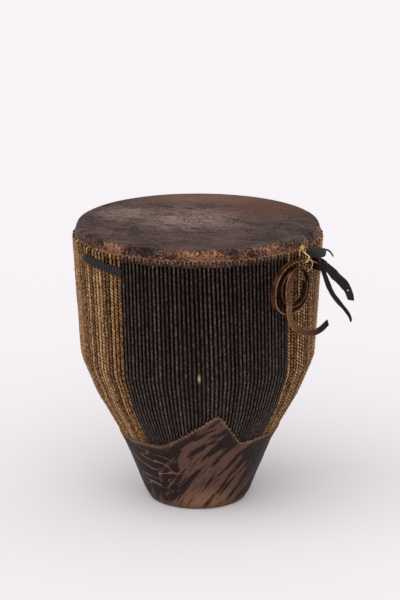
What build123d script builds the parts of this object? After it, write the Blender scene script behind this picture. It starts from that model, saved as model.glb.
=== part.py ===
"""Laced hide drum with its carrying strap, as an assembly of separate pieces (mm, +Z up)."""
import os
from math import atan2, ceil, cos, degrees, hypot, radians, sin

from build123d import *

os.makedirs("parts", exist_ok=True)

# Driving sizes. The front faces -Y, and an azimuth is in degrees from the front towards +X.
DRUM_HEIGHT = 355.5
RIM_RADIUS = 150.0
HIDE = 1.6
FIT = 0.3
RIM_BEVEL = 4.5

# The wooden bowl: radii and heights of the corners of its turned outside.
FOOT_RADIUS = 58.0
FLARE_RADIUS, FLARE_HEIGHT = 63.2, 7.0
WAIST_RADIUS, WAIST_HEIGHT = 89.2, 80.0
BEND_RADIUS, BEND_HEIGHT = 124.7, 143.0
SHOULDER_RADIUS, SHOULDER_HEIGHT = 143.0, 189.0
WALL = 13.0
FOOT_OPENING = 44.0

# The skirt of the playing head, and the line of holes in it.
SKIRT_HEIGHT = 20.5
HOLE_DROP = 14.5
SKIRT_FLARE = 1.7
HOLE_STAGGER = 0.6

# The upper edge of the base hide: nearly level, with one pointed flap at the front.
EDGE_HEIGHT = 93.0
EDGE_TILT = 0.045
TUCK = 7.0
FLAP_HEIGHT = 145.0
FLAP_AZIMUTH = 11.4
FLAP_LEFT, FLAP_RIGHT = 56.5, 33.6

# The lacing: thongs of several runs each, dark ones in a panel at the front, natural ones round the rest.
RUNS_PER_THONG = 7
DARK_THONGS = 6
NATURAL_THONGS = 16
PANEL_LEFT_TOP, PANEL_LEFT_FOOT = -36.3, -37.6
PANEL_RIGHT_TOP, PANEL_RIGHT_FOOT = 43.4, 51.4
THONG = 2.0
DARK_TOP_WIDTH, DARK_FOOT_WIDTH = 3.6, 2.5
NATURAL_TOP_WIDTH, NATURAL_FOOT_WIDTH = 4.2, 2.7
LEG = 1.8
BAR = 1.2
BAR_SHARE = 0.85

# Black wound cord laid across the thongs below the skirt, left and right of the panel.
WIRE = 1.8
WINDING_HEIGHT = 10.0
WINDING_DEPTH = 1.5
WINDING_PITCH = 6.0
LEFT_START, LEFT_TURNS, LEFT_TOP, LEFT_DROP = -60.0, 11, 328.6, 0.55
RIGHT_START, RIGHT_TURNS, RIGHT_TOP, RIGHT_DROP = 58.5, 13, 335.0, 1.35
CORD_END_AZIMUTH = 85.2
CORD_END = 1.5

# The leather strap, coiled in the upright plane that touches the drum at this azimuth.
STRAP_AZIMUTH = 42.0
STRAP_WIDTH = 9.0
STRAP_THICKNESS = 2.0
STRAP_START = (54.0, 321.5)
STRAP_RISE = (38.0, 329.0)
STRAP_TOP_RUN = 7.0
STRAP_CLEARANCE = 0.7
COIL_RADII = (38.0, 25.0, 33.0, 22.0, 25.0, 22.0, 20.0)
COIL_END_RUN = 8.0
KNOT_LENGTH = 16.0
KNOT_TURNS = 3
RAFFIA = 1.2
RAFFIA_RUN = 3
RAFFIA_HALF_HEIGHT = 3.0
RAFFIA_TILT = 15.0
RAFFIA_END = ((35.5, 330.0), (35.5, 325.5), (33.0, 321.0), (28.0, 318.7))


def radial(azimuth):
    """Return the outward direction at an azimuth."""
    return Vector(sin(radians(azimuth)), -cos(radians(azimuth)), 0)


def around(azimuth):
    """Return the level direction along the drum's side at an azimuth."""
    return Vector(cos(radians(azimuth)), sin(radians(azimuth)), 0)


def polar(radius, azimuth, height):
    """Return the point at a radius, an azimuth and a height."""
    return radial(azimuth) * radius + Vector(0, 0, height)


def side_plane(azimuth, distance):
    """Return the upright plane facing an azimuth, with the sketch's Y as the height."""
    return Plane(radial(azimuth) * distance, around(azimuth), radial(azimuth))


def on_line(corners, height):
    """Return the radius at a height on a line through corners of rising height."""
    for (r0, z0), (r1, z1) in zip(corners, corners[1:]):
        if height <= z1:
            break
    return r0 + (r1 - r0) * (height - z0) / (z1 - z0)


# Profiles that several pieces share, as (radius, height).
BASE_TOP = HIDE + FIT
SHELL_TOP = DRUM_HEIGHT - HIDE - FIT
SHELL_RIM = RIM_RADIUS - HIDE - FIT
SHELL_OUTSIDE = (
    (FOOT_RADIUS, BASE_TOP),
    (FLARE_RADIUS, FLARE_HEIGHT),
    (WAIST_RADIUS, WAIST_HEIGHT),
    (BEND_RADIUS, BEND_HEIGHT),
    (SHOULDER_RADIUS, SHOULDER_HEIGHT),
    (SHELL_RIM, SHELL_TOP),
)
SLOPE = 1.15
STAND_OFF = FIT + THONG + FIT
HIDE_ACROSS = HIDE * SLOPE
HOLE_HEIGHT = DRUM_HEIGHT - HOLE_DROP
SKIRT_BOTTOM = DRUM_HEIGHT - SKIRT_HEIGHT
SLOT_TOP = HOLE_HEIGHT + HOLE_STAGGER + LEG / 2 + FIT
SLOT_BOTTOM = HOLE_HEIGHT - HOLE_STAGGER - LEG / 2 - FIT
SKIRT_RADIUS = RIM_RADIUS + SKIRT_FLARE
HIDE_TOP = FLAP_HEIGHT + TUCK
BODY_SIDE = ((WAIST_RADIUS, WAIST_HEIGHT), (BEND_RADIUS, BEND_HEIGHT))
HIDE_INSIDE = (
    (FOOT_RADIUS + FIT, HIDE),
    (FLARE_RADIUS + FIT * SLOPE, FLARE_HEIGHT - FIT),
    (WAIST_RADIUS + STAND_OFF * SLOPE, WAIST_HEIGHT),
    (on_line(BODY_SIDE, HIDE_TOP) + STAND_OFF * SLOPE, HIDE_TOP),
)


def edge_height(azimuth):
    """Return the height of the base hide's edge at an azimuth, where the thongs pass behind it."""
    level = EDGE_HEIGHT + EDGE_TILT * WAIST_RADIUS * sin(radians(azimuth))
    turn = (azimuth - FLAP_AZIMUTH + 180) % 360 - 180
    if abs(turn) > 60:
        return level
    foot = FLAP_LEFT if turn < 0 else FLAP_RIGHT
    height = level
    for _ in range(8):
        across = on_line(SHELL_OUTSIDE, height) * abs(sin(radians(turn)))
        rising = FLAP_HEIGHT - (FLAP_HEIGHT - EDGE_HEIGHT) * across / foot
        height = max(level, (height + rising) / 2)
    return height


def save(piece, name):
    """Label a finished piece and write its file."""
    piece.label = name
    export_step(piece, "parts/" + name + ".step")


class Run:
    """One upright run of a thong, from its hole in the skirt to its tucked end behind the base hide."""

    def __init__(self, top_azimuth, foot_azimuth, top_width, foot_width, odd):
        self.top_azimuth = top_azimuth
        self.foot_azimuth = foot_azimuth
        self.top_width = top_width
        self.foot_width = foot_width
        self.top = HOLE_HEIGHT + (HOLE_STAGGER if odd else -HOLE_STAGGER)
        self.foot = edge_height(foot_azimuth) - TUCK
        self.foot_radius = self.wood(self.foot)
        self.x_dir = radial((top_azimuth + foot_azimuth) / 2)
        rise = polar(SKIRT_RADIUS, top_azimuth, self.top) - polar(self.foot_radius, foot_azimuth, self.foot)
        side = self.x_dir.cross(rise).normalized()
        self.plane = Plane(self.at(self.foot_radius, self.foot), self.x_dir, side)

    def wood(self, height):
        """Return the radius of the thong's inner face where it lies on the wood."""
        return on_line(SHELL_OUTSIDE, height) + FIT * SLOPE

    def azimuth(self, height):
        """Return the azimuth of this run at a height: it changes evenly from foot to top."""
        share = (height - self.foot) / (self.top - self.foot)
        return self.foot_azimuth + share * (self.top_azimuth - self.foot_azimuth)

    def at(self, radius, height):
        """Return a point on this run."""
        return polar(radius, self.azimuth(height), height)

    def local(self, radius, height):
        """Return a point of this run in the sketch of its own plane."""
        point = self.plane.to_local_coords(self.at(radius, height))
        return (point.X, point.Y)

    def seats(self):
        """Return the inner face's corners from top to foot: skirt, shoulder, bend, tucked end."""
        lower = [h for h in (SHOULDER_HEIGHT, BEND_HEIGHT) if h > self.foot + LEG] + [self.foot]
        return [(SKIRT_RADIUS + 2 * FIT, self.top - LEG / 2)] + [(self.wood(h), h) for h in lower]

    def bar_section(self, at_top):
        """Return the thong's section where it passes behind a hide, outer corners first."""
        if at_top:
            outer = SKIRT_RADIUS - HIDE - FIT
            low, high = self.top - LEG / 2, self.top + LEG / 2
            return [(outer, high), (outer, low), (outer - BAR, low), (outer - BAR, high)]
        inner = [(self.wood(h), h) for h in (self.foot, self.foot + LEG)]
        return [(r + THONG * SLOPE, h) for r, h in inner[::-1]] + inner

    def outline(self):
        """Return the run's side view, with a leg through the skirt at its top."""
        inner = self.seats()
        outer = [(r + THONG * (SLOPE if h < SHOULDER_HEIGHT else 1), h) for r, h in inner]
        leg = self.bar_section(True)
        corners = [leg[3], (outer[0][0], self.top + LEG / 2)] + outer[1:] + inner[::-1] + [leg[2]]
        return [self.local(r, z) for r, z in corners]

    def solid(self):
        """Return the run as a tapered strip."""
        front = Plane(self.plane.origin, self.plane.z_dir, self.x_dir)
        rise = (self.top - self.foot) * (1.05 if front.y_dir.Z > 0 else -1.05)
        low, high = self.foot_width / 2, self.top_width / 2
        with BuildPart() as strip:
            with BuildSketch(self.plane):
                Polygon(*self.outline(), align=None)
            extrude(amount=self.top_width, both=True)
            with BuildSketch(front):
                Polygon((-low, 0), (low, 0), (high, rise), (-high, rise), align=None)
            extrude(amount=RIM_RADIUS, both=True, mode=Mode.INTERSECT)
        return strip.part

    def bar(self, other, at_top):
        """Return the short length behind a hide that joins this run to the next one."""
        section, their_section = self.bar_section(at_top), other.bar_section(at_top)
        way = other.at(*their_section[0]) - self.at(*section[0])
        with BuildPart() as joint:
            with BuildSketch(self.plane):
                flat = Polygon(*[self.local(r, z) for r, z in section], align=None, mode=Mode.PRIVATE)
                add(flat.scale(BAR_SHARE).move(Location(flat.center() * (1 - BAR_SHARE))))
            extrude(amount=way.length, dir=way.normalized())
        return joint.part


def spread(count, first, last):
    """Return evenly spaced azimuths, each in the middle of its own share."""
    return [first + (last - first) * (i + 0.5) / count for i in range(count)]


def lacing(thongs, top, foot, widths):
    """Return the runs of one kind of thong between two borders, given at the top and at the foot."""
    count = thongs * RUNS_PER_THONG
    pairs = zip(spread(count, *top), spread(count, *foot))
    return [Run(high, low, *widths, i % 2) for i, (high, low) in enumerate(pairs)]


dark_runs = lacing(
    DARK_THONGS,
    (PANEL_LEFT_TOP, PANEL_RIGHT_TOP),
    (PANEL_LEFT_FOOT, PANEL_RIGHT_FOOT),
    (DARK_TOP_WIDTH, DARK_FOOT_WIDTH),
)
natural_runs = lacing(
    NATURAL_THONGS,
    (PANEL_RIGHT_TOP, PANEL_LEFT_TOP + 360),
    (PANEL_RIGHT_FOOT, PANEL_LEFT_FOOT + 360),
    (NATURAL_TOP_WIDTH, NATURAL_FOOT_WIDTH),
)

# Wooden bowl, turned and hollow, open at the head and at the foot.
with BuildPart() as shell:
    with BuildSketch(Plane.XZ):
        with BuildLine():
            inside = [(SHOULDER_RADIUS - WALL, height) for height in (SHELL_TOP, SHOULDER_HEIGHT)]
            inside += [(FOOT_OPENING, BASE_TOP)]
            rim = [(SHELL_RIM, SHELL_TOP - RIM_BEVEL), (SHELL_RIM - RIM_BEVEL / 2, SHELL_TOP)]
            Polyline(*SHELL_OUTSIDE[:-1], *rim, *inside, close=True)
        make_face()
    revolve(axis=Axis.Z)
save(shell.part, "wooden_shell")

# Playing head: one hide drawn over the rim, its skirt slit for every run of the lacing.
with BuildPart() as head:
    with BuildSketch(Plane.XZ):
        with BuildLine():
            bevel = DRUM_HEIGHT - RIM_BEVEL
            top = [(0, DRUM_HEIGHT - HIDE), (0, DRUM_HEIGHT), (RIM_RADIUS - RIM_BEVEL / 2, DRUM_HEIGHT)]
            skirt = [(SKIRT_RADIUS, bevel), (SKIRT_RADIUS, SKIRT_BOTTOM)]
            lining = [(SKIRT_RADIUS - HIDE, SKIRT_BOTTOM), (SKIRT_RADIUS - HIDE, bevel - HIDE)]
            Polyline(*top, *skirt, *lining, (RIM_RADIUS - RIM_BEVEL / 2, DRUM_HEIGHT - HIDE), close=True)
        make_face()
    revolve(axis=Axis.Z)
    with BuildSketch(Plane.XY.offset(SLOT_BOTTOM)):
        Circle(RIM_RADIUS * 2)
    extrude(amount=SLOT_TOP - SLOT_BOTTOM, mode=Mode.SUBTRACT)
    ring = dark_runs + natural_runs
    webs = {}
    for run, after in zip(ring, ring[1:] + ring[:1]):
        turn = (after.top_azimuth - run.top_azimuth) % 360
        pitch = radians(turn) * SKIRT_RADIUS
        width = round(pitch - (run.top_width + after.top_width) / 2 - 2 * FIT, 3)
        azimuth = run.top_azimuth + turn * (0.5 + (run.top_width - after.top_width) / 4 / pitch)
        middle = polar(SKIRT_RADIUS - HIDE / 2, azimuth, (SLOT_BOTTOM + SLOT_TOP) / 2)
        webs.setdefault(width, []).append(Location(Plane(middle, around(azimuth), radial(azimuth))))
    for width, places in webs.items():
        with Locations(*places):
            Box(width, SLOT_TOP - SLOT_BOTTOM, HIDE * 0.9)
save(head.part, "playing_head")

# What the base hide keeps of its cup: up to a slightly tilted edge, and the pointed flap.
with BuildPart() as hide_edge:
    reach = RIM_RADIUS
    with BuildSketch(Plane.XZ):
        high, low = EDGE_HEIGHT + EDGE_TILT * reach, EDGE_HEIGHT - EDGE_TILT * reach
        Polygon((-reach, -HIDE), (reach, -HIDE), (reach, high), (-reach, low), align=None)
    extrude(amount=reach, both=True)
    with BuildSketch(side_plane(FLAP_AZIMUTH, 0)):
        feet = [(-FLAP_LEFT, EDGE_HEIGHT), (-FLAP_LEFT, 0), (FLAP_RIGHT, 0), (FLAP_RIGHT, EDGE_HEIGHT)]
        Polygon(*feet, (0, FLAP_HEIGHT), align=None)
    extrude(amount=reach)

# Base hide: a cup over the foot, whose edge laps over the lower ends of the lacing.
with BuildPart() as base:
    with BuildSketch(Plane.XZ):
        with BuildLine():
            wall = [(r + HIDE_ACROSS, z) for r, z in HIDE_INSIDE[1:]]
            Polyline((0, HIDE), (0, 0), (FOOT_RADIUS + FIT, 0), *wall, *HIDE_INSIDE[::-1], (0, HIDE))
        make_face()
    revolve(axis=Axis.Z)
    add(hide_edge.part, mode=Mode.INTERSECT)
save(base.part, "base_hide")


def save_thongs(runs, name):
    """Join the runs into thongs that pass behind the head and the base hide in turn, and save each."""
    total = len(runs) // RUNS_PER_THONG
    for number in range(total):
        own = runs[number * RUNS_PER_THONG:(number + 1) * RUNS_PER_THONG]
        pieces = [run.solid() for run in own]
        pieces += [a.bar(b, i % 2 == 1) for i, (a, b) in enumerate(zip(own, own[1:]))]
        with BuildPart() as thong:
            add(pieces)
        save(thong.part, f"{name}_{number + 1:02d}")


save_thongs(dark_runs, "lacing_dark")
save_thongs(natural_runs, "lacing_natural")


def thong_outside(height):
    """Return the outer radius of the lacing between the skirt and the shoulder."""
    shoulder = (SHOULDER_RADIUS + FIT + THONG * SLOPE, SHOULDER_HEIGHT)
    return on_line((shoulder, (SKIRT_RADIUS + 2 * FIT + THONG, HOLE_HEIGHT)), height)


def winding(start, turns, top, drop):
    """Return the upright strokes of a wound cord, in front and behind in turn."""
    back = thong_outside(top + WINDING_HEIGHT / 2) + FIT + WIRE / 2
    step = WINDING_PITCH / (back + WINDING_DEPTH)
    stroke = (WINDING_HEIGHT - WIRE) / 2
    points = []
    for i in range(turns):
        for part, radius in ((0, back + WINDING_DEPTH), (0.5, back)):
            azimuth = start + (i + part) * step * 57.2958
            middle = top - drop * (i + part)
            ends = [middle - stroke, middle + stroke]
            points.append([polar(radius, azimuth, z) for z in (ends if part == 0 else ends[::-1])])
    return points


def least_gap(points, thickness, skip):
    """Return the least gap between parts of a route that are not neighbours along it."""
    far = [(a - b).length for i, a in enumerate(points) for b in points[i + skip:]]
    return min(far) - thickness


def wound_cord(start, turns, top, drop):
    """Return a wound cord as one unbroken tube along its strokes and the short crossings between them."""
    strokes = winding(start, turns, top, drop)
    with BuildPart() as cord:
        with BuildLine() as route:
            Polyline(*[point for stroke in strokes for point in stroke])
        line = route.wires()[0]
        with BuildSketch(Plane(strokes[0][0], z_dir=(0, 0, 1))):
            RegularPolygon(WIRE / 2, 4)
        sweep(path=line, transition=Transition.RIGHT)
    samples = [line @ (i / 600) for i in range(601)]
    gap = least_gap(samples, WIRE, ceil(600 * 4 * WIRE / line.length))
    length = round(line.length, 1)
    print("wound cord: radius", round(WIRE / 2, 2), "length", length, "least gap", round(gap, 2))
    return cord.part


save(wound_cord(LEFT_START, LEFT_TURNS, LEFT_TOP, LEFT_DROP), "collar_binding_left")
save(wound_cord(RIGHT_START, RIGHT_TURNS, RIGHT_TOP, RIGHT_DROP), "collar_binding_right")


def tube(points, bends, diameter, sides=6):
    """Return a thin cord along straight runs with tangent arcs at the corners."""
    with BuildPart() as cord:
        with BuildLine() as route:
            FilletPolyline(*points, radius=bends)
        start = route.wires()[0]
        with BuildSketch(Plane(start @ 0, z_dir=start % 0)):
            RegularPolygon(diameter / 2, sides)
        sweep(path=start)
    return cord.part


# The free end of the black cord, standing out from the right binding.
cord_root = thong_outside(RIGHT_TOP) + FIT + WIRE + WINDING_DEPTH + FIT + CORD_END / 2
cord_points = [polar(cord_root, CORD_END_AZIMUTH, 321.5)]
cord_points += [polar(cord_root + 4.5, CORD_END_AZIMUTH, 320.5)]
cord_points += [polar(cord_root + 8.0, CORD_END_AZIMUTH, 314.0)]
save(tube(cord_points, 4.5, CORD_END), "band_cord_end")

# The strap's plane: its inner edge just clears the thongs at the top of the coil.
STRAP_BACK = thong_outside(STRAP_RISE[1] + STRAP_THICKNESS * 2) + STRAP_CLEARANCE
STRAP_FRONT = STRAP_BACK + STRAP_WIDTH
strap_way = (Vector(*STRAP_RISE) - Vector(*STRAP_START)).normalized()


def coil_route():
    """Add the strap's coil to the line being drawn: a run up to the top, then shrinking quarter turns."""
    Line(STRAP_START, STRAP_RISE)
    lift = strap_way.get_angle(Vector(-1, 0))
    crest = JernArc(STRAP_RISE, (strap_way.X, strap_way.Y), COIL_RADII[0], lift)
    arc = Line(crest @ 1, (crest @ 1) + (crest % 1) * STRAP_TOP_RUN)
    for radius in COIL_RADII:
        arc = JernArc(arc @ 1, arc % 1, radius, 90)
    Line(arc @ 1, (arc @ 1) + (arc % 1) * COIL_END_RUN)


with BuildPart() as coil:
    with BuildLine(side_plane(STRAP_AZIMUTH, STRAP_BACK + STRAP_WIDTH / 2)) as route:
        coil_route()
    strap_line = route.wires()[0]
    with BuildSketch(Plane(strap_line @ 0, radial(STRAP_AZIMUTH), strap_line % 0)):
        Rectangle(STRAP_WIDTH, STRAP_THICKNESS)
    sweep(path=strap_line)
save(coil.part, "strap_coil")
strap_points = [strap_line @ (i / 400) for i in range(401)]
strap_gap = least_gap(strap_points, STRAP_THICKNESS, ceil(400 * 40 / strap_line.length))
print("strap coil: least radius", min(COIL_RADII), "least gap", round(strap_gap, 2))


def ribbon(points, widths, distance):
    """Return a flat strap end along points, with its widths at the root, the belly and the tip."""
    count = len(points)
    sides = [[], []]
    for i, point in enumerate(points):
        before, after = Vector(*points[max(i - 1, 0)]), Vector(*points[min(i + 1, count - 1)])
        normal = (after - before).normalized().rotate(Axis.Z, 90)
        share = i / (count - 1)
        root, belly, tip = widths
        half = (root + (belly - root) * min(share * 4, 1) + (tip - belly) * max(share * 4 - 1, 0) / 3) / 2
        for side, sign in zip(sides, (1, -1)):
            side.append(Vector(*point) + normal * (half * sign))
    with BuildPart() as strip:
        with BuildSketch(side_plane(STRAP_AZIMUTH, distance)):
            with BuildLine():
                left = FilletPolyline(*sides[0], radius=STRAP_WIDTH)
                right = FilletPolyline(*sides[1], radius=STRAP_WIDTH)
                Line(left @ 0, right @ 0)
                Line(left @ 1, right @ 1)
            make_face()
        extrude(amount=STRAP_THICKNESS)
    return strip.part


def pierced(strip, centre, radius):
    """Return a strap end with its worn hole."""
    with BuildPart() as holed:
        add(strip)
        with BuildSketch(side_plane(STRAP_AZIMUTH, STRAP_BACK)):
            with Locations(centre):
                Circle(radius)
        extrude(amount=STRAP_WIDTH * 2, mode=Mode.SUBTRACT)
    return holed.part


# Long end of the strap, lying over the front of the coil and curling away below it.
long_end = [(9, 323), (-1, 312), (-4.5, 299), (-2.5, 285.6), (-1.5, 272), (2, 260), (11, 250.5)]
long_end += [(24, 244), (39, 240.5), (51, 242.5), (63, 249)]
save(pierced(ribbon(long_end, (7.0, 9.0, 8.0), STRAP_FRONT + FIT), (-2.5, 285.6), 1.8), "strap_tail_long")

# The two free ends beyond the knot, side by side in depth.
wide_end = [(55.8, 320.6), (61.2, 318.1), (68, 312.8), (78, 303.6), (88.5, 294.7)]
wide_end += [(97.3, 285.6), (102.8, 275.7), (105.6, 267.6)]
wide_strip = ribbon(wide_end, (8.5, 9.0, 9.5), STRAP_FRONT - STRAP_THICKNESS)
save(pierced(wide_strip, (99.5, 281.5), 0.9), "strap_tail_wide")
narrow_end = [(58.4, 316.8), (61.5, 312), (65.5, 303), (71, 292), (79, 279.5), (89.5, 267.5), (100, 256.5)]
narrow_end += [(108.5, 246), (111.6, 238.5)]
save(ribbon(narrow_end, (3.2, 7.5, 4.0), STRAP_BACK + STRAP_THICKNESS), "strap_tail_narrow")

# The hitch that closes the strap: turns of leather round the strands, with room for them inside.
with BuildPart() as knot:
    for turn in range(KNOT_TURNS):
        along = KNOT_LENGTH * (turn / KNOT_TURNS - 0.6)
        centre = Vector(*STRAP_START) - strap_way * along
        plane = side_plane(STRAP_AZIMUTH, (STRAP_BACK + STRAP_FRONT) / 2)
        origin = plane.from_local_coords(centre)
        direction = plane.from_local_coords(centre - strap_way) - origin
        bulge = STRAP_THICKNESS * (1.0 if turn == 1 else 0.8)
        inner_depth, inner_height = STRAP_WIDTH + 2 * FIT, STRAP_WIDTH + 4 * FIT
        with BuildSketch(Plane(origin, radial(STRAP_AZIMUTH), direction)):
            outer = Rectangle(inner_depth + 2 * bulge, inner_height + 2 * bulge)
            chamfer(outer.vertices(), bulge)
            Rectangle(inner_depth, inner_height, mode=Mode.SUBTRACT)
        extrude(amount=KNOT_LENGTH / KNOT_TURNS)
save(knot.part, "strap_knot")

# Raffia lashing: a ring round one thong and the strap's top strand, with its knot above.
tied = natural_runs[RAFFIA_RUN]


def off_thong(point):
    """Return how far a point is, in degrees, from the upright of the tied thong."""
    return abs(degrees(atan2(point.X, -point.Y)) - tied.azimuth(point.Z))


tie_point = min(strap_points[:len(strap_points) // 4], key=off_thong)
tie_azimuth = tied.azimuth(tie_point.Z)
out = radial(tie_azimuth) * cos(radians(RAFFIA_TILT)) + Vector(0, 0, sin(radians(RAFFIA_TILT)))
lean = tied.at(RIM_RADIUS, tie_point.Z + 1) - tied.at(RIM_RADIUS, tie_point.Z)
up = (lean - out * lean.dot(out)).normalized()
natural_turn = (PANEL_LEFT_TOP + 360 - PANEL_RIGHT_TOP) / len(natural_runs)
half_pitch = radians(natural_turn) / 2 * thong_outside(tie_point.Z)
tie_half = hypot(half_pitch, RAFFIA_HALF_HEIGHT)
tie_way = (up * RAFFIA_HALF_HEIGHT + around(tie_azimuth) * half_pitch).normalized()
tie_plane = Plane(tie_point, out, out.cross(tie_way))
thong_back = thong_outside(tie_point.Z) - THONG * SLOPE - hypot(tie_point.X, tie_point.Y)
dip = RAFFIA_HALF_HEIGHT * sin(radians(RAFFIA_TILT))
ring_back = (thong_back - FIT - RAFFIA / 2 - dip) / cos(radians(RAFFIA_TILT))
ring_front = STRAP_WIDTH / 2 + FIT + RAFFIA
corners = [(ring_back, -tie_half), (ring_front, -tie_half), (ring_front, tie_half), (ring_back, tie_half)]
with BuildPart() as tie:
    with BuildLine(tie_plane) as route:
        Polyline(*corners, close=True)
    with BuildSketch(Plane(route.edges()[0] @ 0, z_dir=route.edges()[0] % 0)):
        RegularPolygon(RAFFIA / 2, 4)
    sweep(path=route.wires()[0], transition=Transition.RIGHT)
    for size, rise in ((0.8, 0.3), (1.6, 2.0), (0.8, 3.7)):
        knot_centre = tie_plane.from_local_coords((ring_front - 2 * RAFFIA, tie_half + rise))
        with BuildSketch(Plane(knot_centre, z_dir=tie_way)):
            RegularPolygon(RAFFIA * size, 6)
    loft(ruled=True)
save(tie.part, "raffia_tie")

# The lashing's long end, curling down in front of the strap.
end_plane = side_plane(STRAP_AZIMUTH, STRAP_FRONT + FIT + RAFFIA / 2)
end_points = [end_plane.from_local_coords(point) for point in RAFFIA_END]
save(tube(end_points, RAFFIA * 3, RAFFIA, 4), "raffia_end")
hinge = [round(v, 3) for v in tie_point]
print("strap hinge", hinge, "along", [round(v, 4) for v in radial(STRAP_AZIMUTH)])
print("raffia radius", RAFFIA / 2, "ring from", round(ring_back, 2), "to", round(ring_front, 2))
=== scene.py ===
"""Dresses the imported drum: hides, twisted thongs, wound cords, strap and raffia, with light and camera."""
from math import cos, degrees, pi, radians, sin
from typing import NamedTuple

import bmesh
import bpy
import numpy as np
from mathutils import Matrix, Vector, noise


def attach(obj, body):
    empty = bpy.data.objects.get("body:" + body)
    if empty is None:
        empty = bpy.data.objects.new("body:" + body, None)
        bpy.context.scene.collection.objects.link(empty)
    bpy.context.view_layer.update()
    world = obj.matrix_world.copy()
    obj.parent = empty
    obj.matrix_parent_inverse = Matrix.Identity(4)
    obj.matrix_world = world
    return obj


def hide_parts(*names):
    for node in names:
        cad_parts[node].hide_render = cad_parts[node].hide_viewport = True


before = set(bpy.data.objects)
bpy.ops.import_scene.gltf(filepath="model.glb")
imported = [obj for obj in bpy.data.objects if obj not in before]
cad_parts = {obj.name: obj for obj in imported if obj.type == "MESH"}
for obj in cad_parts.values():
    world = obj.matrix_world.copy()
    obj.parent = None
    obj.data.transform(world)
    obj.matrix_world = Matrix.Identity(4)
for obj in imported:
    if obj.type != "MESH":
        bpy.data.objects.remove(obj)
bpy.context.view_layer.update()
rng = np.random.default_rng(7)

# Sizes shared with the part's source, in millimetres and degrees.
MM = 0.001
DRUM_HEIGHT, RIM_RADIUS = 355.5, 150.0
HIDE, FIT, THONG, SLOPE = 1.6, 0.3, 2.0, 1.15
WOOD_RADII = (58.0, 63.2, 89.2, 124.7, 143.0, 148.1)
WOOD_HEIGHTS = (1.9, 7.0, 80.0, 143.0, 189.0, 353.6)
FOOT_RADIUS, EDGE_RADIUS, SHOULDER_HEIGHT = WOOD_RADII[0], WOOD_RADII[2], WOOD_HEIGHTS[4]
SKIRT_RADIUS, SKIRT_BOTTOM = 151.7, 335.0
HOLE_HEIGHT, HOLE_STAGGER, HOLE_HALF = 341.0, 0.6, 1.3
EDGE_HEIGHT, EDGE_TILT, TUCK = 93.0, 0.045, 7.0
FLAP_HEIGHT, FLAP_AZIMUTH, FLAP_LEFT, FLAP_RIGHT = 145.0, 11.4, 56.5, 33.6
RUNS_PER_THONG, DARK_THONGS, NATURAL_THONGS = 7, 6, 16
PANEL_TOP, PANEL_FOOT = (-36.3, 43.4), (-37.6, 51.4)
DARK_LEG, NATURAL_LEG = 3.6, 4.2
WINDING_HEIGHT = 10.0
STRAP_AZIMUTH, STRAP_WIDTH, STRAP_THICKNESS = 42.0, 9.0, 2.0
STRAP_BACK = 154.5
STRAP_FRONT, STRAP_MIDDLE = STRAP_BACK + STRAP_WIDTH, STRAP_BACK + STRAP_WIDTH / 2
STRAP_START, STRAP_RISE, STRAP_TOP_RUN = (54.0, 321.5), (38.0, 329.0), 7.0
COIL_RADII = (38.0, 25.0, 33.0, 22.0, 25.0, 22.0, 20.0)
COIL_END_RUN = 8.0

# How far from its middle the flap can reach, in degrees, and how often its edge's height is improved.
FLAP_REACH, EDGE_ROUNDS = 60, 8
# How far each seed moves the noise.
NOISE_SHIFT = (17.3, 5.1, 9.7)


def radial(azimuth):
    """Return the outward direction at an azimuth, or at an array of them."""
    a = np.radians(azimuth)
    return np.stack([np.sin(a), -np.cos(a), np.zeros_like(a)], axis=-1)


def polar(radius, azimuth, height):
    """Return points from radii, azimuths and heights."""
    radius, azimuth, height = np.broadcast_arrays(np.asarray(radius, float), azimuth, height)
    points = radial(azimuth) * radius[..., None]
    points[..., 2] = height
    return points


def wood(height):
    """Return the wood's outer radius at a height."""
    return np.interp(height, WOOD_HEIGHTS, WOOD_RADII)


def eased(radius_at, height, reach):
    """Return a profile's radii at heights, with its corners eased over a reach."""
    return (radius_at(height - reach) + 2 * radius_at(height) + radius_at(height + reach)) / 4


def edge_height(azimuth):
    """Return the height of the base hide's edge at an azimuth."""
    level = EDGE_HEIGHT + EDGE_TILT * EDGE_RADIUS * sin(radians(azimuth))
    turn = (azimuth - FLAP_AZIMUTH + 180) % 360 - 180
    if abs(turn) > FLAP_REACH:
        return level
    foot = FLAP_LEFT if turn < 0 else FLAP_RIGHT
    height = level
    for _ in range(EDGE_ROUNDS):
        across = wood(height) * abs(sin(radians(turn)))
        rising = FLAP_HEIGHT - (FLAP_HEIGHT - EDGE_HEIGHT) * across / foot
        height = max(level, (height + rising) / 2)
    return height


def lumps(points, size, seed):
    """Return smooth noise between about -1 and 1 at points, with lumps of a size."""
    shift = Vector([seed * amount for amount in NOISE_SHIFT])
    flat = points.reshape(-1, 3) / size
    return np.array([noise.noise(Vector(p) + shift) for p in flat]).reshape(points.shape[:-1])


def unit(vectors):
    """Return vectors at length one."""
    return vectors / np.maximum(np.linalg.norm(vectors, axis=-1, keepdims=True), 1e-9)


def distances(path):
    """Return each point's distance along a path."""
    return np.concatenate([[0], np.cumsum(np.linalg.norm(np.diff(path, axis=0), axis=1))])


def ring(count):
    """Return evenly spaced angles round a circle."""
    return np.arange(count) / count * 2 * pi


def squarer(values, power):
    """Return values from -1 to 1, pushed outwards by a power below 1."""
    return np.sign(values) * np.abs(values) ** power


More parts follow.
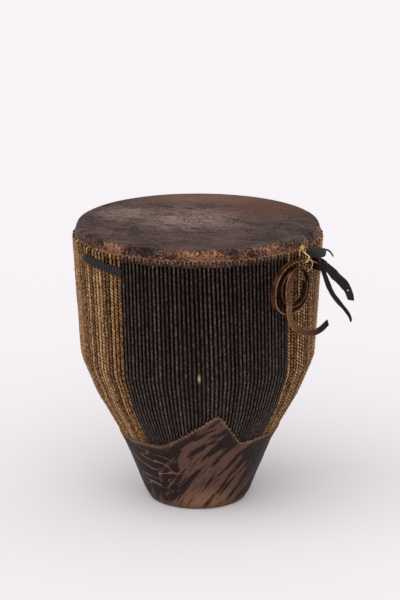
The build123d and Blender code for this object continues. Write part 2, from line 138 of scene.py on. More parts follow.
def through(points, step):
    """Return a smooth line through points, sampled about every step."""
    p = np.asarray(points, float)
    p = np.vstack([2 * p[0] - p[1], p, 2 * p[-1] - p[-2]])
    line = []
    for a, b, c, d in zip(p, p[1:], p[2:], p[3:]):
        count = max(2, int(np.linalg.norm(c - b) / step))
        t = (np.arange(count) / count)[:, None]
        bend = 2 * a - 5 * b + 4 * c - d
        line.append(0.5 * (2 * b + (c - a) * t + bend * t**2 + (3 * b - a - 3 * c + d) * t**3))
    return np.vstack(line + [p[-2:-1]])


def lattice(points, u, v, skip=None, closed=True):
    """Return vertices, quads and corner UVs of a grid of points, which closes across its columns or not."""
    rows, columns = points.shape[:2]
    strips = columns if closed else columns - 1
    v = np.broadcast_to(np.reshape(v, (rows, -1)), (rows, strips + 1))
    u = np.broadcast_to(np.reshape(u, (-1, strips + 1)), (rows, strips + 1))
    i, j = np.meshgrid(np.arange(rows - 1), np.arange(strips), indexing="ij")
    keep = np.ones(i.shape, bool) if skip is None else ~skip
    i, j = i[keep], j[keep]
    after = (j + 1) % columns
    low, high = i * columns, (i + 1) * columns
    faces = np.stack([low + j, low + after, high + after, high + j], 1)
    places = ((i, j), (i, j + 1), (i + 1, j + 1), (i + 1, j))
    corners = [np.stack([u[a, b], v[a, b]], 1) for a, b in places]
    return points.reshape(-1, 3), faces.tolist(), np.stack(corners, 1).reshape(-1, 2)


def capped(part, columns):
    """Close both ends of a tube made by lattice."""
    verts, faces, uvs = part
    first = list(range(columns))[::-1]
    last = list(range(len(verts) - columns, len(verts)))
    return verts, faces + [first, last], np.vstack([uvs, np.zeros((2 * columns, 2))])


def fanned(part, columns, centre):
    """Close the first ring of a grid made by lattice with a fan round a centre."""
    verts, faces, uvs = part
    fan = [[len(verts), j, (j + 1) % columns] for j in range(columns)]
    return np.vstack([verts, [centre]]), faces + fan, np.vstack([uvs, np.zeros((3 * columns, 2))])


def tube(path, out, width, depth, sides=8, lobe=0.0, twist=0.0, closed=False, power=1.0):
    """Return a tube along a path, of two twisted strands where lobe is not 0, squarer as power falls."""
    path = np.asarray(path, float)
    if closed:
        way = unit(np.roll(path, -1, 0) - np.roll(path, 1, 0))
    else:
        way = unit(np.gradient(path, axis=0))
    side = unit(np.cross(way, np.broadcast_to(out, path.shape)))
    out = np.cross(side, way)
    length = distances(path)
    angle = ring(sides)
    swell = 1 + lobe * np.cos(2 * (angle[None] - twist * length[:, None]))
    across = squarer(np.cos(angle), power)
    deep = squarer(np.sin(angle), power)
    half_width = np.broadcast_to(width, length.shape)[:, None] / 2 * swell * across[None]
    half_depth = np.broadcast_to(depth, length.shape)[:, None] / 2 * swell * deep[None]
    points = path[:, None] + side[:, None] * half_width[..., None] + out[:, None] * half_depth[..., None]
    u = np.arange(sides + 1) / sides
    if closed:
        points = np.concatenate([points, points[:1]])
        length = np.append(length, length[-1] + np.linalg.norm(path[-1] - path[0]))
        return lattice(points, u, length)
    return capped(lattice(points, u, length), sides)


def piece(name, parts, paint, body, nodes=(), marks=None):
    """Make one object from mesh parts in millimetres, on a body, standing for CAD nodes."""
    verts, faces, uvs = [], [], []
    for part_verts, part_faces, part_uvs in parts:
        start = sum(len(v) for v in verts)
        verts.append(part_verts)
        faces += [[start + k for k in face] for face in part_faces]
        uvs.append(part_uvs)
    mesh = bpy.data.meshes.new(name)
    mesh.from_pydata((np.vstack(verts) * MM).tolist(), [], faces)
    mesh.uv_layers.new(name="lay").data.foreach_set("uv", np.vstack(uvs).ravel().astype(np.float32))
    for key, values in (marks or {}).items():
        store = mesh.attributes.new(key, "FLOAT", "POINT")
        store.data.foreach_set("value", np.ravel(values).astype(np.float32))
    tidy = bmesh.new()
    tidy.from_mesh(mesh)
    bmesh.ops.remove_doubles(tidy, verts=tidy.verts, dist=1e-6)
    bmesh.ops.recalc_face_normals(tidy, faces=tidy.faces)
    tidy.to_mesh(mesh)
    tidy.free()
    mesh.polygons.foreach_set("use_smooth", [True] * len(mesh.polygons))
    mesh.materials.append(paint)
    obj = bpy.data.objects.new(name, mesh)
    bpy.context.scene.collection.objects.link(obj)
    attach(obj, body)
    if nodes:
        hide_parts(*nodes)
    return obj


def thicken(obj, thickness, offset, smooth=0):
    """Give a sheet its thickness in millimetres, and round it."""
    shell = obj.modifiers.new("thickness", "SOLIDIFY")
    shell.thickness = thickness * MM
    shell.offset = offset
    shell.use_even_offset = False
    if smooth:
        rounding = obj.modifiers.new("rounding", "SUBSURF")
        rounding.levels = smooth
        rounding.render_levels = smooth


def rgb(red, green, blue):
    """Return a colour from its usual 0 to 255 values."""
    parts = [c / 255 for c in (red, green, blue)]
    return [c / 12.92 if c <= 0.04045 else ((c + 0.055) / 1.055) ** 2.4 for c in parts] + [1.0]


class Paint:
    """A material in the making. Most methods add nodes and return an output."""

    def __init__(self, name):
        self.material = bpy.data.materials.new(name)
        self.material.use_nodes = True
        self.tree = self.material.node_tree
        self.shader = self.tree.nodes["Principled BSDF"]

    def feed(self, socket, value):
        """Link or set one input."""
        if isinstance(value, bpy.types.NodeSocket):
            self.tree.links.new(value, socket)
        else:
            socket.default_value = value

    def add(self, kind, inputs, **settings):
        """Add a node with its settings and inputs."""
        node = self.tree.nodes.new("ShaderNode" + kind)
        for key, value in settings.items():
            setattr(node, key, value)
        for key, value in inputs.items():
            self.feed(node.inputs[key], value)
        return node

    def place(self, source, scale=(1, 1, 1), turn=0.0, shift=(0, 0, 0)):
        """Return UV or Object coordinates, turned in their plane and then scaled."""
        vector = self.add("TexCoord", {}).outputs[source]
        inputs = {"Vector": vector, "Location": shift, "Rotation": (0, 0, turn)}
        turned = self.add("Mapping", inputs).outputs[0]
        return self.add("Mapping", {"Vector": turned, "Scale": scale}).outputs[0]

    def noise(self, vector, scale=1.0, detail=2.0, rough=0.7, warp=0.0):
        """Return noise from 0 to 1."""
        inputs = {"Vector": vector, "Scale": scale, "Detail": detail}
        inputs |= {"Roughness": rough, "Distortion": warp}
        return self.add("TexNoise", inputs).outputs[0]

    def step(self, value, low, high):
        """Return 0 below low, 1 above high, and a smooth rise between."""
        inputs = {"Value": value, "From Min": low, "From Max": high}
        return self.add("MapRange", inputs, interpolation_type="SMOOTHSTEP").outputs[0]

    def plus(self, first, second):
        """Return the sum of two values."""
        return self.add("Math", {0: first, 1: second}, operation="ADD").outputs[0]

    def times(self, first, second):
        """Return the product of two values."""
        return self.add("Math", {0: first, 1: second}, operation="MULTIPLY").outputs[0]

    def most(self, first, second):
        """Return the larger of two values."""
        return self.add("Math", {0: first, 1: second}, operation="MAXIMUM").outputs[0]

    def rising(self, value, slope, start):
        """Return a start plus a value times a slope."""
        return self.plus(self.times(value, slope), start)

    def mix(self, amount, first, second):
        """Return a colour between two."""
        return self.add("Mix", {0: amount, 6: first, 7: second}, data_type="RGBA").outputs[2]

    def mark(self, name):
        """Return a value that the mesh carries."""
        return self.add("Attribute", {}, attribute_name=name).outputs["Fac"]

    def near(self, centre, radii):
        """Return 1 at a point in millimetres, falling to 0 at radii along each axis."""
        scale = [1 / (r * MM) for r in radii]
        vector = self.place("Object", scale, shift=[-c * MM for c in centre])
        far = self.add("VectorMath", {0: vector}, operation="LENGTH").outputs["Value"]
        return self.step(far, 1.0, 0.15)

    def done(self, colour, rough, height, depth, shine=0.5):
        """Finish the material with its colour, roughness, bumps of a depth in millimetres, and shine."""
        self.feed(self.shader.inputs["Base Color"], colour)
        self.feed(self.shader.inputs["Roughness"], rough)
        self.feed(self.shader.inputs["Specular IOR Level"], shine)
        bump = self.add("Bump", {"Height": height, "Strength": 1.0, "Distance": depth * MM})
        self.feed(self.shader.inputs["Normal"], bump.outputs[0])
        return self.material


def paint_head():
    """Dark drum hide: mauve-brown, rubbed pale where it is struck, tan along the rim and the holes."""
    p = Paint("head_hide")
    level = 355
    streaks = p.noise(p.place("Object", (45, 115, 60), turn=0.35), detail=3.0, warp=0.6)
    here = p.place("Object")
    cloud = p.noise(here, 32.0, detail=3.0, rough=0.65)
    fine = p.noise(here, 330.0)
    blotch = p.plus(cloud, fine)
    grainy = p.plus(streaks, fine)
    colour = p.mix(p.step(p.plus(cloud, grainy), 1.25, 1.75), rgb(28, 16, 15), rgb(90, 65, 58))
    red_side = p.near((95, 75, level), (110, 90, 60))
    colour = p.mix(p.times(red_side, 0.7), colour, rgb(92, 56, 38))
    pale_back = p.near((0, 125, level), (150, 60, 60))
    colour = p.mix(p.times(pale_back, 0.5), colour, rgb(126, 92, 76))
    struck = p.most(p.near((-8, 8, level), (92, 85, 60)), p.near((-90, 35, level), (55, 60, 60)))
    struck = p.times(struck, p.step(grainy, 0.78, 1.15))
    colour = p.mix(p.times(struck, 0.7), colour, rgb(154, 128, 118))
    worn_rim = p.times(p.mark("rim"), p.step(blotch, 1.02, 1.24))
    colour = p.mix(worn_rim, colour, rgb(170, 122, 82))
    skirt = p.mix(p.step(blotch, 0.88, 1.2), rgb(38, 22, 16), rgb(120, 80, 58))
    colour = p.mix(p.mark("skirt"), colour, skirt)
    worn_holes = p.times(p.mark("hole"), p.step(fine, 0.3, 0.6))
    colour = p.mix(worn_holes, colour, rgb(166, 126, 96))
    flecks = p.times(p.step(fine, 0.6, 0.75), 0.5)
    colour = p.mix(flecks, colour, rgb(140, 118, 106))
    return p.done(colour, p.rising(cloud, 0.3, 0.42), grainy, depth=0.9, shine=0.1)


def paint_base():
    """Hide with the hair on: chocolate patches in slanting streaks over bare grey-brown skin."""
    p = Paint("base_hide")
    patches = p.noise(p.place("UV", (0.013, 0.075, 1), turn=-0.88), detail=3.5, rough=0.62, warp=0.5)
    hair = p.noise(p.place("UV", (0.1, 1.3, 1), turn=-0.82))
    left = p.near((-62, -52, 62), (62, 62, 66))
    right = p.near((70, -45, 60), (48, 60, 80))
    bare = p.near((8, -62, 8), (50, 42, 36))
    zones = p.plus(p.times(left, 0.17), p.times(right, 0.08))
    zones = p.plus(zones, p.times(bare, -0.1))
    cover = p.plus(p.plus(patches, p.times(hair, 0.2)), zones)
    hairy = p.step(cover, 0.58, 0.62)
    skin = p.mix(p.step(hair, 0.3, 0.7), rgb(68, 45, 37), rgb(104, 76, 64))
    skin = p.mix(p.times(bare, 0.9), skin, rgb(132, 96, 74))
    dark = p.mix(p.step(hair, 0.35, 0.7), rgb(18, 7, 6), rgb(46, 26, 22))
    colour = p.mix(hairy, skin, dark)
    lines = p.noise(p.place("UV", (0.012, 0.05, 1), turn=0.05), rough=0.45, warp=0.25)
    crease = p.times(p.step(lines, 0.482, 0.5), p.step(lines, 0.518, 0.5))
    colour = p.mix(p.times(crease, p.times(left, 0.9)), colour, rgb(160, 122, 104))
    colour = p.mix(p.mark("edge"), colour, rgb(142, 110, 86))
    colour = p.mix(p.mark("foot"), colour, rgb(104, 76, 60))
    return p.done(colour, p.rising(hairy, -0.1, 0.62), p.plus(hairy, hair), depth=0.5, shine=0.12)


def paint_thong(name, deep, mid, light, rough):
    """Twisted rawhide with fibres and paler wear, and painted shade in its twist's grooves and on its sides.
    """
    p = Paint(name)
    slow = p.noise(p.place("Object"), 260.0)
    fibre = p.noise(p.place("UV", (6.0, 0.5, 1)))
    shade = p.plus(p.plus(slow, fibre), p.mark("tone"))
    colour = p.mix(p.step(shade, 0.7, 1.1), deep, mid)
    colour = p.mix(p.step(shade, 1.0, 1.4), colour, light)
    # Painted shade: the thong's sides and back turn deep, away from its outer face.
    colour = p.mix(p.mark("crest"), deep, colour)
    # Painted shade darkens the grooves between the twist's strands.
    colour = p.mix(p.mark("groove_shade"), colour, deep)
    colour = p.mix(p.mark("worn"), colour, rgb(206, 180, 132))
    return p.done(colour, rough, fibre, depth=0.4, shine=0.14)


def paint_leather(name, deep, light, edge):
    """Strap leather with creases across it and pale cut edges."""
    p = Paint(name)
    cloud = p.noise(p.place("Object"), 80.0, detail=2.5, rough=0.65)
    creases = p.noise(p.place("UV", (0.2, 0.5, 1)), detail=3.0, rough=0.65, warp=0.8)
    colour = p.mix(p.step(cloud, 0.34, 0.66), deep, light)
    colour = p.mix(p.times(p.step(creases, 0.58, 0.75), 0.5), colour, edge)
    rubbed = p.times(p.mark("cut"), p.step(p.plus(cloud, creases), 0.75, 1.15))
    colour = p.mix(rubbed, colour, edge)
    pale = p.times(p.mark("belly"), p.step(creases, 0.3, 0.6))
    colour = p.mix(pale, colour, edge)
    # Darker ends: painted shade with dirt on the coil's inner turns, and the long tail's tip.
    colour = p.mix(p.mark("tip"), colour, rgb(20, 13, 10))
    return p.done(colour, p.rising(cloud, 0.3, 0.4), creases, depth=0.6, shine=0.1)


def paint_cord():
    """Black cord with a fine twist, and painted highlights as grey streaks along the twist."""
    p = Paint("black_cord")
    twist = p.noise(p.place("UV", (6.0, 0.9, 1), turn=0.7), rough=0.6)
    # Painted highlights: grey slanting streaks on the black cord.
    colour = p.mix(p.step(twist, 0.35, 0.7), rgb(8, 7, 8), rgb(70, 65, 66))
    return p.done(colour, p.rising(twist, 0.3, 0.4), twist, depth=0.4, shine=0.2)


def paint_raffia():
    """Pale straw fibre."""
    p = Paint("raffia")
    fibre = p.noise(p.place("UV", (5.0, 0.4, 1)), rough=0.6)
    colour = p.mix(p.step(fibre, 0.3, 0.7), rgb(168, 124, 74), rgb(232, 196, 142))
    return p.done(colour, p.rising(fibre, 0.3, 0.45), fibre, depth=0.15)


def paint_wood():
    """Carved wood with upright grain, painted near black to stand for the shade in the gaps between the
    thongs.
    """
    p = Paint("bowl_wood")
    grain = p.noise(p.place("Object", (160, 160, 12)), detail=3.0, rough=0.65, warp=0.4)
    # Painted shade: the wood shows in the gaps between thongs, so its colour is made near black.
    colour = p.mix(p.step(grain, 0.35, 0.65), rgb(8, 4, 3), rgb(30, 18, 11))
    return p.done(colour, p.rising(grain, 0.3, 0.45), grain, depth=0.5, shine=0.03)


HEAD_PAINT, BASE_PAINT = paint_head(), paint_base()
DARK_PAINT = paint_thong("dark_thong", rgb(3, 1, 1), rgb(62, 49, 43), rgb(122, 107, 97), 0.4)
NATURAL_PAINT = paint_thong("natural_thong", rgb(24, 11, 4), rgb(156, 110, 64), rgb(232, 190, 136), 0.55)
STRAP_PAINT = paint_leather("strap_leather", rgb(30, 16, 10), rgb(80, 48, 30), rgb(142, 100, 68))
DARK_STRAP_PAINT = paint_leather("dark_strap_leather", rgb(17, 10, 8), rgb(40, 27, 21), rgb(66, 45, 35))
CORD_PAINT, RAFFIA_PAINT = paint_cord(), paint_raffia()

# The wooden bowl keeps its solid.
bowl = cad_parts["wooden_shell"]
bowl.data.materials.clear()
bowl.data.materials.append(paint_wood())


class Kind(NamedTuple):
    """How one kind of thong is cut and twisted. Lengths are in millimetres.

    leg is its slit's width and neck its own width there. cover is the share of its room that it fills
    at the foot, and narrowing is what that share loses at the top. step is the distance between points.
    lobe and pitch are the twist's, and depth is the most that it is deep. tone is how far runs differ
    in colour. The last two set painted shade: how dark the grooves of the twist are painted, and how
    fast its sides darken with painted shade away from its outer face.
    """

    leg: float
    neck: float
    cover: float
    narrowing: float
    step: float
    lobe: float
    pitch: float
    depth: float
    tone: float
    groove_shade: float
    crest: float


DARK = Kind(leg=DARK_LEG, neck=DARK_LEG, cover=0.84, narrowing=0.29, step=2.4, lobe=0.06, pitch=13.0,
            depth=2.5, tone=0.12, groove_shade=0.4, crest=1.3)
NATURAL = Kind(leg=NATURAL_LEG, neck=NATURAL_LEG * 0.82, cover=0.93, narrowing=0.0, step=1.5, lobe=0.28,
               pitch=8.5, depth=3.2, tone=0.36, groove_shade=1.0, crest=0.35)

THONG_SIDES = 8
# Where a run settles below its hole, the length of its narrow neck, and how far its bends are eased.
LEAD_DROP, NECK_LENGTH, BEND_REACH = 3.4, 16, 6
# Where the points of a crossing to the next run lie.
CROSSING_SHARES = np.array([[0.3], [0.7]])
# The least width of a run and how far runs differ, as shares, how far a thong wanders, and how uneven it is.
WIDTH_LEAST, WIDTH_SCATTER, WANDER, UNEVEN = 0.9, 0.16, 0.35, 0.08
# A pale scuff on the front panel.
SCUFF_AZIMUTH, SCUFF_HEIGHT, SCUFF_REACH, SCUFF_STRENGTH = 1.3, 197.0, 3.5, 0.7


class Run:
    """One upright run of a thong, from its hole in the skirt to its end behind the base hide."""

    def __init__(self, top_azimuth, foot_azimuth, turns, kind, odd):
        self.top_azimuth, self.foot_azimuth = top_azimuth, foot_azimuth
        self.turns = turns
        self.kind = kind
        self.top = HOLE_HEIGHT + (HOLE_STAGGER if odd else -HOLE_STAGGER)
        self.foot = edge_height(foot_azimuth) - TUCK

    def azimuth(self, height):
        """Return the azimuth at heights."""
        share = (np.asarray(height) - self.foot) / (self.top - self.foot)
        return self.foot_azimuth + share * (self.top_azimuth - self.foot_azimuth)

    def seat(self, height):
        """Return the radius of the thong's inner face at heights."""
        lower = wood(height) + FIT * SLOPE
        share = np.clip((height - SHOULDER_HEIGHT) / (self.top - SHOULDER_HEIGHT), 0, 1)
        start = wood(SHOULDER_HEIGHT) + FIT * SLOPE
        upper = start + share * (SKIRT_RADIUS + 2 * FIT - start)
        return np.where(height > SHOULDER_HEIGHT, upper, lower)

    def line(self):
        """Return radii and heights from behind the skirt, out of the hole and down to the foot."""
        height = np.arange(self.top - LEAD_DROP, self.foot, -self.kind.step)
        soft = eased(self.seat, height, BEND_REACH)
        radius = np.maximum(soft, self.seat(height) - 0.5) + THONG / 2
        lead_radius = [SKIRT_RADIUS - HIDE - 1.0, SKIRT_RADIUS - HIDE / 2]
        lead_radius += [SKIRT_RADIUS + 0.8, SKIRT_RADIUS + 1.5]
        lead_height = [self.top, self.top, self.top - 0.2, self.top - 1.5]
        return np.concatenate([lead_radius, radius]), np.concatenate([lead_height, height])

    def width(self, radius, height):
        """Return the thong's width: narrow in its hole, and then a share of the room it has."""
        share = (height - self.foot) / (self.top - self.foot)
        turn = self.turns[1] + (self.turns[0] - self.turns[1]) * share
        full = np.radians(turn) * radius * (self.kind.cover - self.kind.narrowing * share)
        free = np.clip((self.top - height) / NECK_LENGTH, 0, 1)
        return np.minimum(full, self.kind.neck + (full - self.kind.neck) * free)

    def wear(self, height):
        """Return how worn the thong is at heights."""
        turn = abs(self.azimuth(SCUFF_HEIGHT) - SCUFF_AZIMUTH)
        if self.kind is DARK and turn < self.turns[0] / 2:
            return SCUFF_STRENGTH * np.exp(-(((height - SCUFF_HEIGHT) / SCUFF_REACH) ** 2))
        return np.zeros_like(height)


def spread(count, first, last):
    """Return evenly spaced azimuths, each in the middle of its own share."""
    return [first + (last - first) * (i + 0.5) / count for i in range(count)]


def lacing(thongs, top, foot, kind):
    """Return the runs of one kind of thong between two borders, given at the top and at the foot."""
    count = thongs * RUNS_PER_THONG
    turns = ((top[1] - top[0]) / count, (foot[1] - foot[0]) / count)
    pairs = zip(spread(count, *top), spread(count, *foot))
    return [Run(high, low, turns, kind, i % 2) for i, (high, low) in enumerate(pairs)]


dark_runs = lacing(DARK_THONGS, PANEL_TOP, PANEL_FOOT, DARK)
natural_top = (PANEL_TOP[1], PANEL_TOP[0] + 360)
natural_foot = (PANEL_FOOT[1], PANEL_FOOT[0] + 360)
natural_runs = lacing(NATURAL_THONGS, natural_top, natural_foot, NATURAL)
all_runs = dark_runs + natural_runs
next_runs = all_runs[1:] + all_runs[:1]


def thong_route(runs):
    """Return a row for each point along a thong: radius, azimuth, height, width, wear and tone."""
    rows = []
    for i, run in enumerate(runs):
        upwards = i % 2 == 1
        radius, height = run.line()
        width = run.width(radius, height) * (WIDTH_LEAST + WIDTH_SCATTER * rng.random())
        tone = np.full_like(height, run.kind.tone * (rng.random() - 0.5))
        leg = np.stack([radius, run.azimuth(height), height, width, run.wear(height), tone], 1)
        leg = leg[::-1] if upwards else leg
        rows.append(leg)
        if i + 1 < len(runs):
            after = runs[i + 1]
            end = leg[-1].copy()
            end[1:3] = (after.top_azimuth, after.top) if upwards else (after.foot_azimuth, after.foot)
            rows.append(leg[-1] + (end - leg[-1]) * CROSSING_SHARES)
    return np.concatenate(rows)


def make_thong(name, runs, paint):
    """Make one thong: down a run, behind the base hide, up the next, through the skirt and so on."""
    kind = runs[0].kind
    radius, azimuth, height, width, wear, tone = np.ascontiguousarray(thong_route(runs).T)
    path = polar(radius, azimuth, height)
    wobble = lumps(path, size=28.0, seed=3) * WANDER
    path = path + radial(azimuth) * wobble[:, None]
    depth = np.minimum(width, kind.depth)
    width = width / (1 + kind.lobe) * (1 + UNEVEN * lumps(path, size=11.0, seed=5))
    twist = 2 * pi / kind.pitch
    part = tube(path, radial(azimuth), width, depth, THONG_SIDES, kind.lobe, twist)
    angle = ring(THONG_SIDES)
    # The twist's grooves, between its strands, get painted shade.
    strands = np.cos(2 * (angle[None] - twist * distances(path)[:, None]))
    # Painted shade on the thong's sides: 1 on its outer face, falling to 0 at its sides and back.
    crest = np.clip(np.sin(angle), 0, 1) ** kind.crest
    marks = {"groove_shade": np.clip(-strands, 0, 1) * kind.groove_shade, "worn": np.repeat(wear, THONG_SIDES)}
    marks |= {"tone": np.repeat(tone, THONG_SIDES), "crest": np.tile(crest, len(path))}
    piece(name + "_hide", [part], paint, "drum", [name], marks)


def make_lacing(label, runs, paint):
    """Make the thongs of one kind, each from its own runs."""
    for number, first in enumerate(range(0, len(runs), RUNS_PER_THONG), 1):
        own = runs[first:first + RUNS_PER_THONG]
        make_thong(f"lacing_{label}_{number:02d}", own, paint)


make_lacing("dark", dark_runs, DARK_PAINT)
make_lacing("natural", natural_runs, NATURAL_PAINT)


def around(azimuth, arc):
    """Return UV places round the drum, with the first one again at the end."""
    return np.append(azimuth, azimuth[0] + 360) * arc


# The playing head: its disc, the round of its rim, and rows beside the holes with how worn they are.
DISC_RADII = (14, 28, 42, 56, 70, 84, 98, 110, 121, 130, 137, 142, 145)
DISC_HEIGHT = DRUM_HEIGHT - 0.3
RIM_ROUND, RIM_CENTRE, RIM_ANGLES = 5, (145.2, DRUM_HEIGHT - 5.2), (0.3, 0.65, 1.0, 1.3)
HOLE_ROWS = ((2.6, 0.3), (HOLE_HALF, 0.9), (-HOLE_HALF, 0.9), (-2.8, 0.2))
HEAD_ARC, HEAD_ROW = 2.6, 8.0
# The rise of its back edge, its waves and smaller bumps, and the ragged hem of its skirt.
BACK_RISE, BACK_REACH = 1.6, 140
HEAD_WAVES, SKIRT_BUMPS, HEM_RAGGED, HEM_WAVES = 0.7, 0.45, 0.6, 23


def head_columns():
    """Return azimuths beside each hole and between the holes, and the holes' heights there."""
    azimuth, hole = [], []
    for run, after in zip(all_runs, next_runs):
        half = degrees(run.kind.leg / 2 / SKIRT_RADIUS)
        turn = (after.top_azimuth - run.top_azimuth) % 360
        azimuth += [run.top_azimuth - half, run.top_azimuth + half, run.top_azimuth + turn / 2]
        hole += [run.top, run.top, (run.top + after.top) / 2]
    return np.array(azimuth), np.array(hole)


def make_head():
    """Make the playing head: a worn disc, a rounded rim and a skirt with a hole for every run."""
    azimuth, hole = head_columns()
    columns = len(azimuth)
    beside = np.where(np.arange(columns) % 3 == 2, 0.5, 1.0)
    ragged = HEM_RAGGED * np.sin(np.radians(azimuth * HEM_WAVES))
    # Each row has its radius and height, and its marks for the rim, the skirt and the holes.
    rows = [(radius, DISC_HEIGHT, 0, 0, 0) for radius in DISC_RADII]
    for angle in RIM_ANGLES:
        radius = RIM_CENTRE[0] + RIM_ROUND * sin(angle)
        rows.append((radius, RIM_CENTRE[1] + RIM_ROUND * cos(angle), angle / RIM_ANGLES[-1], 0, 0))
    rows.append((RIM_RADIUS + 0.9, DRUM_HEIGHT - 7.5, 0.6, 0.7, 0))
    rows.append((SKIRT_RADIUS, DRUM_HEIGHT - 10, 0.2, 1, 0))
    upper = len(rows)
    rows += [(SKIRT_RADIUS, hole + drop, 0, 1, worn * beside) for drop, worn in HOLE_ROWS]
    rows.append((SKIRT_RADIUS, SKIRT_BOTTOM + ragged, 0, 1, 0))
    points = np.stack([polar(row[0], azimuth, row[1]) for row in rows])
    marks = {}
    for key, place in (("rim", 2), ("skirt", 3), ("hole", 4)):
        values = [np.broadcast_to(row[place], columns) for row in rows]
        marks[key] = np.append(np.ravel(values), 0)
    waves = lumps(points, size=55.0, seed=1) * HEAD_WAVES
    disc = len(DISC_RADII)
    points[:upper, :, 2] += BACK_RISE * np.clip(points[:upper, :, 1] / BACK_REACH, 0, 1)
    points[:disc, :, 2] += waves[:disc]
    bumps = waves[disc:] + lumps(points[disc:], size=9.0, seed=2) * SKIRT_BUMPS
    points[disc:] += radial(azimuth)[None] * bumps[..., None]
    skip = np.zeros((len(points) - 1, columns), bool)
    skip[upper + 1, 0::3] = True
    part = lattice(points, around(azimuth, HEAD_ARC), np.arange(len(points)) * HEAD_ROW, skip)
    part = fanned(part, columns, (0, 0, DISC_HEIGHT))
    obj = piece("head_hide_sheet", [part], HEAD_PAINT, "drum", ["playing_head"], marks)
    thicken(obj, HIDE, -1)


make_head()

# The base hide: radii and heights under the foot, its first height up the side, and its rows there.
FOOT_ROWS = ((20, 0.0), (40, 0.0), (54, 0.0), (FOOT_RADIUS + 0.6, 0.15), (61.6, 1.5))
SIDE_START, SIDE_ROWS, SIDE_CROWDING = 4.0, 34, 1.6
BASE_BEND, BASE_ARC, FAR_BELOW = 4, 1.6, 60.0
# The torn edge: its dips at the thongs and tips between them, and the columns that it is smoothed over.
TIP_DIP, TIP_LEAST, TIP_SCATTER, TIP_SHOULDER = -1.0, 1.2, 2.6, 0.3
EDGE_BLUR = range(-6, 7)
# The ridges over the thongs, the pinch at the edge, and the depth of each below the edge.
RIDGE, RIDGE_FADE, PINCH, PINCH_FADE = 0.55, 9, 0.3, 2
# How pale the torn edge is and how far down, and how far up the foot is rubbed.
TORN_PALE, TORN_FADE, FOOT_FADE = 0.8, 1.6, 5.0


def base_columns():
    """Return azimuths at each thong and between, how far the torn edge rises there, and the ridges."""
    azimuth, tip, ridge = [], [], []
    for run, after in zip(all_runs, next_runs):
        turn = (after.foot_azimuth - run.foot_azimuth) % 360
        rise = TIP_LEAST + TIP_SCATTER * rng.random()
        shoulder = TIP_SHOULDER * rise
        for share, lift in ((0, TIP_DIP), (0.25, shoulder), (0.5, rise), (0.75, shoulder)):
            azimuth.append(run.foot_azimuth + turn * share)
            tip.append(lift)
            ridge.append(cos(2 * pi * share))
    return np.array(azimuth), np.array(tip), np.array(ridge)


def make_base():
    """Make the base hide: a cup with a torn upper edge that rises in tips between the thongs."""
    azimuth, tip, ridge = base_columns()
    columns = len(azimuth)
    edge = np.array([edge_height(a) for a in azimuth])
    edge = sum(np.roll(edge, shift) for shift in EDGE_BLUR) / len(EDGE_BLUR) + tip
    over_thongs = (FIT + THONG + FIT) * SLOPE + HIDE * SLOPE
    over_wood = FIT * SLOPE + HIDE * SLOPE
    points = [polar(radius, azimuth, height) for radius, height in FOOT_ROWS]
    depth = [np.full(columns, FAR_BELOW) for _ in FOOT_ROWS]
    for share in 1 - np.linspace(1, 0, SIDE_ROWS) ** SIDE_CROWDING:
        height = SIDE_START + (edge - SIDE_START) * share
        below = edge - height
        radius = eased(wood, height, BASE_BEND)
        radius = radius + np.interp(height, WOOD_HEIGHTS[1:3], (over_wood, over_thongs))
        radius = radius + RIDGE * ridge * np.exp(-below / RIDGE_FADE) - PINCH * np.exp(-below / PINCH_FADE)
        points.append(polar(radius, azimuth, height))
        depth.append(below)
    points, depth = np.stack(points), np.stack(depth)
    swell = lumps(points, size=30.0, seed=4) * 0.7 + lumps(points, size=9.0, seed=6) * 0.3
    swell[:len(FOOT_ROWS) - 1] = 0
    points = points + radial(azimuth)[None] * swell[..., None]
    heights = np.append(points[..., 2], points[:, :1, 2], axis=1)
    part = fanned(lattice(points, around(azimuth, BASE_ARC), heights), columns, (0, 0, 0))
    tips = np.exp(-depth / TORN_FADE) * TORN_PALE
    foot = np.exp(-((points[..., 2] / FOOT_FADE) ** 2))
    marks = {"edge": np.append(tips.ravel(), 0), "foot": np.append(foot.ravel(), 0)}
    obj = piece("base_hide_sheet", [part], BASE_PAINT, "drum", ["base_hide"], marks)
    thicken(obj, HIDE * 0.8, -1)


make_base()

# The black cord, its loops, and the core that they are wound over.
WOUND_CORD, CORD_LOBE, CORD_PITCH = 2.7, 0.1, 6
LOOP_STEPS, LOOP_DEPTH, LOOP_OUT, LOOP_LEAN = 16, 1.9, 2.6, 0.35
END_SIZE, END_GROWTH = 0.45, 9
CORE_OUT, CORE_WIDTH, CORE_DEPTH = 2.4, 6.4, 3.0


def thong_outside(height):
    """Return the outer radius of the lacing between the skirt and the shoulder."""
    low = wood(SHOULDER_HEIGHT) + FIT + THONG * SLOPE
    high = SKIRT_RADIUS + 2 * FIT + THONG
    return np.interp(height, (SHOULDER_HEIGHT, HOLE_HEIGHT), (low, high))


def make_binding(name, start, sweep, top, drop, loops):
    """Make a wound black cord: slanting loops laid closely over a core."""
    turn = np.arange(loops * LOOP_STEPS + 1) / LOOP_STEPS
    share = turn / loops
    ends = np.clip(np.minimum(share, 1 - share) * END_GROWTH + END_SIZE, 0, 1)
    angle = turn * 2 * pi
    azimuth = start + sweep * share + LOOP_LEAN * np.sin(angle)
    middle = top - drop * share
    height = middle + (WINDING_HEIGHT / 2 - 0.5) * ends * np.cos(angle)
    radius = thong_outside(middle) + LOOP_OUT + LOOP_DEPTH * ends * np.sin(angle)
    path = polar(radius, azimuth, height)
    twist = 2 * pi / CORD_PITCH
    cord = tube(path, radial(azimuth), WOUND_CORD, WOUND_CORD, 6, CORD_LOBE, twist)
    share = np.linspace(0.01, 0.99, 40)
    azimuth = start + sweep * share
    middle = top - drop * share
    path = polar(thong_outside(middle) + CORE_OUT, azimuth, middle)
    core = tube(path, radial(azimuth), CORE_WIDTH, CORE_DEPTH)
    piece(name + "_winding", [cord, core], CORD_PAINT, "drum", [name])


